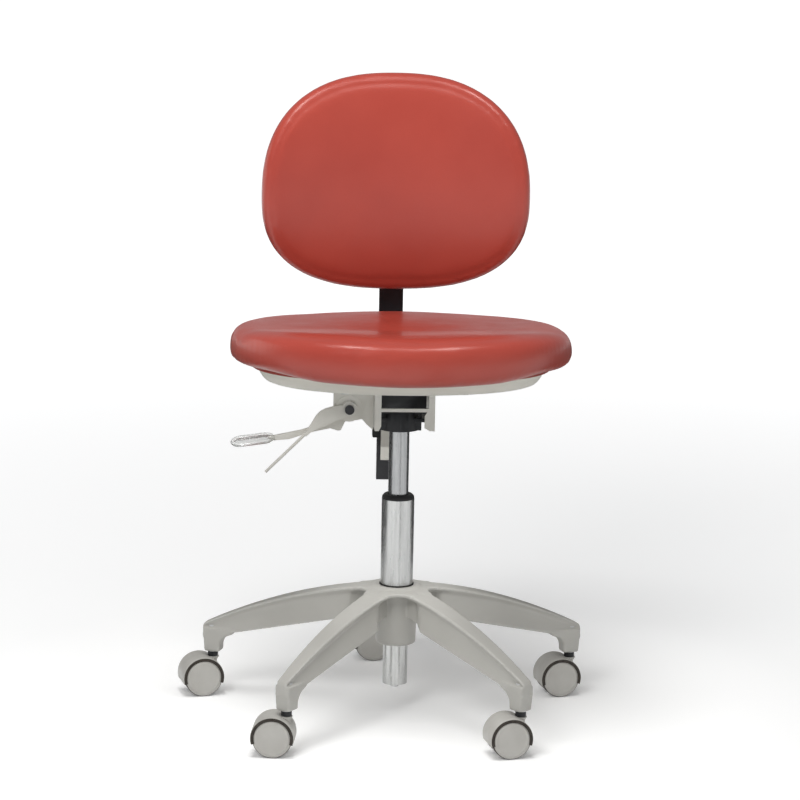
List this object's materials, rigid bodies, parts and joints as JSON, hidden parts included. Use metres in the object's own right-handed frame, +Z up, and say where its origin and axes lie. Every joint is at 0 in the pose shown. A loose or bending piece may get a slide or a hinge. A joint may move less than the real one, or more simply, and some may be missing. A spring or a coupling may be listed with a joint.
{
  "type": "dentist stool",
  "caption": "Height-adjustable dentist's stool with a padded seat, tilting padded backrest, under-seat levers and a five-star base on twin-wheel casters.",
  "frame": {"origin": "on the floor, under the axis of the column", "axes": "+Z up, the sitter faces -Y, the backrest is at +Y, +X is the sitter's left"},
  "size_m": [0.5333, 0.5014, 0.8103],
  "materials": {
    "red_vinyl": "vinyl-coated cloth over foam, soft sheen",
    "cream_plastic": "moulded, fine texture",
    "cream_paint": "powder coat, satin",
    "base_paint": "powder coat on casting, satin",
    "chrome": "bright chrome plate",
    "steel": "zinc plated, satin",
    "black_metal": "black powder coat",
    "black_plastic": "moulded, satin",
    "black_rubber": "matt",
    "clear_plastic": "translucent white",
    "caster_plastic": "moulded nylon, satin",
    "plywood": "raw beech ply"
  },
  "bodies": {
    "base": {"star_base": "base_paint", "stem_sleeves": "steel", "caster_stems": "black_metal", "column_tube": "chrome", "column_ring": "black_rubber", "column_end_plate": "steel", "guide_bush": "black_plastic"},
    "rod": {"piston_rod": "steel", "piston_head": "black_plastic", "thrust_bearing": "steel", "rod_clip": "steel", "rubber_buffer": "black_rubber"},
    "seat": {"gas_cylinder": "chrome", "cylinder_head": "black_plastic", "taper_socket": "black_metal", "mechanism_housing": "cream_paint", "seat_plate": "steel", "seat_pan": "cream_plastic", "seat_board": "plywood", "seat_cushion": "red_vinyl", "seat_bolts": "steel", "lever_bracket": "cream_paint", "lever_pivot_pin": "steel", "arm_axle": "steel", "axle_clips": "steel", "tilt_spring": "steel"},
    "button": {"release_button": "steel"},
    "height_lever": {"height_lever_arm": "cream_paint", "height_lever_grip": "clear_plastic"},
    "tilt_lever": {"tilt_lever": "cream_paint"},
    "arm": {"back_arm": "cream_paint", "upright_sleeve": "black_plastic"},
    "knob": {"clamp_knob": "black_plastic", "clamp_stud": "steel"},
    "back": {"back_upright": "black_metal", "back_bracket": "black_metal", "back_shell": "cream_plastic", "back_board": "plywood", "back_cushion": "red_vinyl", "back_screws": "steel"},
    "caster_0": {"caster_hood_0": "caster_plastic", "caster_axle_0": "steel"},
    "wheel_0_front": {"wheel_0_front": "caster_plastic"},
    "wheel_0_rear": {"wheel_0_rear": "caster_plastic"},
    "caster_1": {"caster_hood_1": "caster_plastic", "caster_axle_1": "steel"},
    "wheel_1_front": {"wheel_1_front": "caster_plastic"},
    "wheel_1_rear": {"wheel_1_rear": "caster_plastic"},
    "caster_2": {"caster_hood_2": "caster_plastic", "caster_axle_2": "steel"},
    "wheel_2_front": {"wheel_2_front": "caster_plastic"},
    "wheel_2_rear": {"wheel_2_rear": "caster_plastic"},
    "caster_3": {"caster_hood_3": "caster_plastic", "caster_axle_3": "steel"},
    "wheel_3_front": {"wheel_3_front": "caster_plastic"},
    "wheel_3_rear": {"wheel_3_rear": "caster_plastic"},
    "caster_4": {"caster_hood_4": "caster_plastic", "caster_axle_4": "steel"},
    "wheel_4_front": {"wheel_4_front": "caster_plastic"},
    "wheel_4_rear": {"wheel_4_rear": "caster_plastic"}
  },
  "joints": [
    {"name": "seat_swivel", "type": "hinge", "parent": "base", "child": "rod", "pos_m": [0, 0, 0.04], "axis": [0, 0, 1], "continuous": true},
    {"name": "seat_height", "type": "slide", "parent": "rod", "child": "seat", "axis": [0, 0, 1], "range_m": [-0.07, 0.06]},
    {"name": "height_lever_pull", "type": "hinge", "parent": "seat", "child": "height_lever", "pos_m": [-0.0665, 0, 0.406], "axis": [0, 1, 0], "range_deg": [0, 5], "stiffness_Nm_per_rad": 2, "springref_deg": -5.73},
    {"name": "button_press", "type": "slide", "parent": "seat", "child": "button", "axis": [0, 0, -1], "range_m": [0, 0.0061]},
    {"name": "tilt_lever_pull", "type": "hinge", "parent": "seat", "child": "tilt_lever", "pos_m": [-0.0665, -0.042, 0.406], "axis": [0, 1, 0], "range_deg": [0, 12], "stiffness_Nm_per_rad": 1, "springref_deg": -8.59},
    {"name": "back_tilt", "type": "hinge", "parent": "seat", "child": "arm", "pos_m": [0.003, 0.1, 0.396], "axis": [-1, 0, 0], "range_deg": [-8, 15]},
    {"name": "back_height", "type": "slide", "parent": "arm", "child": "back", "axis": [0, 0, 1], "range_m": [-0.02, 0.05]},
    {"name": "knob_turn", "type": "hinge", "parent": "arm", "child": "knob", "pos_m": [0, 0.26, 0.332], "axis": [0, 1, 0], "range_deg": [0, 270]},
    {"name": "caster_swivel_0", "type": "hinge", "parent": "base", "child": "caster_0", "pos_m": [0, 0.248, 0.04], "axis": [0, 0, 1], "continuous": true},
    {"name": "wheel_roll_0_front", "type": "hinge", "parent": "caster_0", "child": "wheel_0_front", "pos_m": [-0.016, 0.24772, 0.025], "axis": [-0.0175, 0.9998, 0], "continuous": true},
    {"name": "wheel_roll_0_rear", "type": "hinge", "parent": "caster_0", "child": "wheel_0_rear", "pos_m": [-0.016, 0.24772, 0.025], "axis": [-0.0175, 0.9998, 0], "continuous": true},
    {"name": "caster_swivel_1", "type": "hinge", "parent": "base", "child": "caster_1", "pos_m": [-0.23586, 0.07664, 0.04], "axis": [0, 0, 1], "continuous": true},
    {"name": "wheel_roll_1_front", "type": "hinge", "parent": "caster_1", "child": "wheel_1_front", "pos_m": [-0.25151, 0.07331, 0.025], "axis": [-0.2079, 0.9781, 0], "continuous": true},
    {"name": "wheel_roll_1_rear", "type": "hinge", "parent": "caster_1", "child": "wheel_1_rear", "pos_m": [-0.25151, 0.07331, 0.025], "axis": [-0.2079, 0.9781, 0], "continuous": true},
    {"name": "caster_swivel_2", "type": "hinge", "parent": "base", "child": "caster_2", "pos_m": [-0.14577, -0.20064, 0.04], "axis": [0, 0, 1], "continuous": true},
    {"name": "wheel_roll_2_front", "type": "hinge", "parent": "caster_2", "child": "wheel_2_front", "pos_m": [-0.16165, -0.19869, 0.025], "axis": [0.1219, 0.9925, 0], "continuous": true},
    {"name": "wheel_roll_2_rear", "type": "hinge", "parent": "caster_2", "child": "wheel_2_rear", "pos_m": [-0.16165, -0.19869, 0.025], "axis": [0.1219, 0.9925, 0], "continuous": true},
    {"name": "caster_swivel_3", "type": "hinge", "parent": "base", "child": "caster_3", "pos_m": [0.14577, -0.20064, 0.04], "axis": [0, 0, 1], "continuous": true},
    {"name": "wheel_roll_3_front", "type": "hinge", "parent": "caster_3", "child": "wheel_3_front", "pos_m": [0.13006, -0.20369, 0.025], "axis": [-0.1908, 0.9816, 0], "continuous": true},
    {"name": "wheel_roll_3_rear", "type": "hinge", "parent": "caster_3", "child": "wheel_3_rear", "pos_m": [0.13006, -0.20369, 0.025], "axis": [-0.1908, 0.9816, 0], "continuous": true},
    {"name": "caster_swivel_4", "type": "hinge", "parent": "base", "child": "caster_4", "pos_m": [0.23586, 0.07664, 0.04], "axis": [0, 0, 1], "continuous": true},
    {"name": "wheel_roll_4_front", "type": "hinge", "parent": "caster_4", "child": "wheel_4_front", "pos_m": [0.22016, 0.07358, 0.025], "axis": [-0.1908, 0.9816, 0], "continuous": true},
    {"name": "wheel_roll_4_rear", "type": "hinge", "parent": "caster_4", "child": "wheel_4_rear", "pos_m": [0.22016, 0.07358, 0.025], "axis": [-0.1908, 0.9816, 0], "continuous": true}
  ],
  "couplings": [
    {"joint": "button_press", "follows": "height_lever_pull", "m_per_rad": 0.069}
  ]
}
